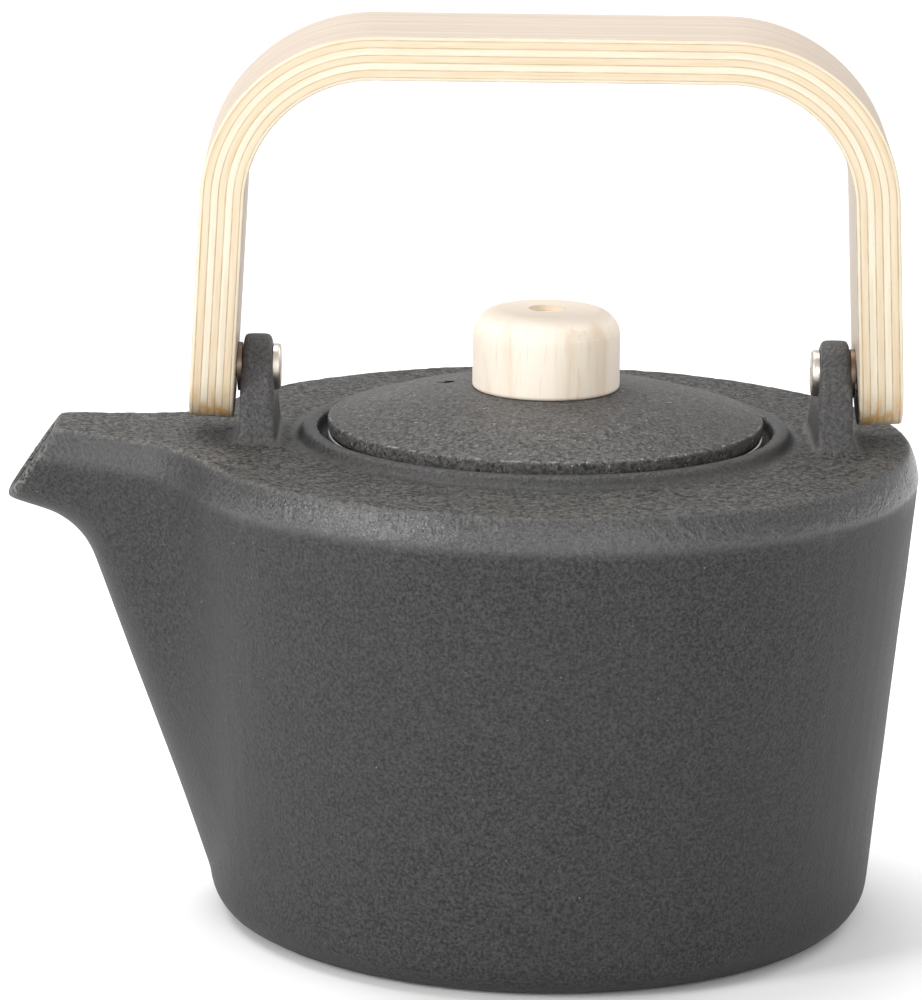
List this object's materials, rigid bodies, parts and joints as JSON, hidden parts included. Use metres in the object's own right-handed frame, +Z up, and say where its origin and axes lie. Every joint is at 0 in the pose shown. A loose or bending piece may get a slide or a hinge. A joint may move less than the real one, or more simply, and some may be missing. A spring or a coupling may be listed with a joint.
{
  "type": "teapot",
  "caption": "Round cast-iron teapot with a flat shoulder, a slanted spout, a domed lid with a wooden knob, a steel strainer and a tilting bent-plywood handle.",
  "frame": {"origin": "centre of the pot's flat base, on the surface it stands on", "axes": "+Z up along the pot's axis, -X towards the spout, the handle's hinge line along X, -Y towards the side the handle leans to"},
  "size_m": [0.1872, 0.1534, 0.1861],
  "materials": {
    "iron": "dark warm-grey sand-cast iron, satin and pebbled on the shoulder",
    "face_birch": "pinkish-beige birch face veneer, clear satin lacquer",
    "light_birch": "cream birch ply, cut edge, satin",
    "dark_birch": "tan birch ply, cut edge, satin",
    "knob_wood": "pale turned wood, oiled",
    "steel": "stainless, satin",
    "brass": "plain"
  },
  "bodies": {
    "pot": {"pot_body": "iron"},
    "handle": {"face_veneer_inner": "face_birch", "core_ply_1": "dark_birch", "core_ply_2": "light_birch", "core_ply_3": "dark_birch", "core_ply_4": "light_birch", "core_ply_5": "dark_birch", "face_veneer_outer": "face_birch", "handle_insert_left": "brass", "handle_insert_right": "brass", "pivot_screw_left": "steel", "pivot_screw_right": "steel", "pivot_spacer_left": "steel", "pivot_spacer_right": "steel"},
    "strainer": {"strainer_rim": "steel", "strainer_wall": "steel", "strainer_floor": "steel", "strainer_band": "steel"},
    "lid": {"lid": "iron", "lid_knob": "knob_wood", "knob_plug": "face_birch", "knob_screw": "steel", "knob_washer": "steel", "knob_nut": "steel"}
  },
  "joints": [
    {"name": "handle_tilt", "type": "hinge", "parent": "pot", "child": "handle", "pos_m": [0, 0, 0.1134], "axis": [1, 0, 0], "range_deg": [-95.6, 84.4]},
    {"name": "strainer_lift", "type": "slide", "parent": "pot", "child": "strainer", "axis": [0, 0, 1], "range_m": [0, 0.034]},
    {"name": "lid_lift", "type": "slide", "parent": "strainer", "child": "lid", "axis": [0, 0, 1], "range_m": [0, 0.011]}
  ]
}
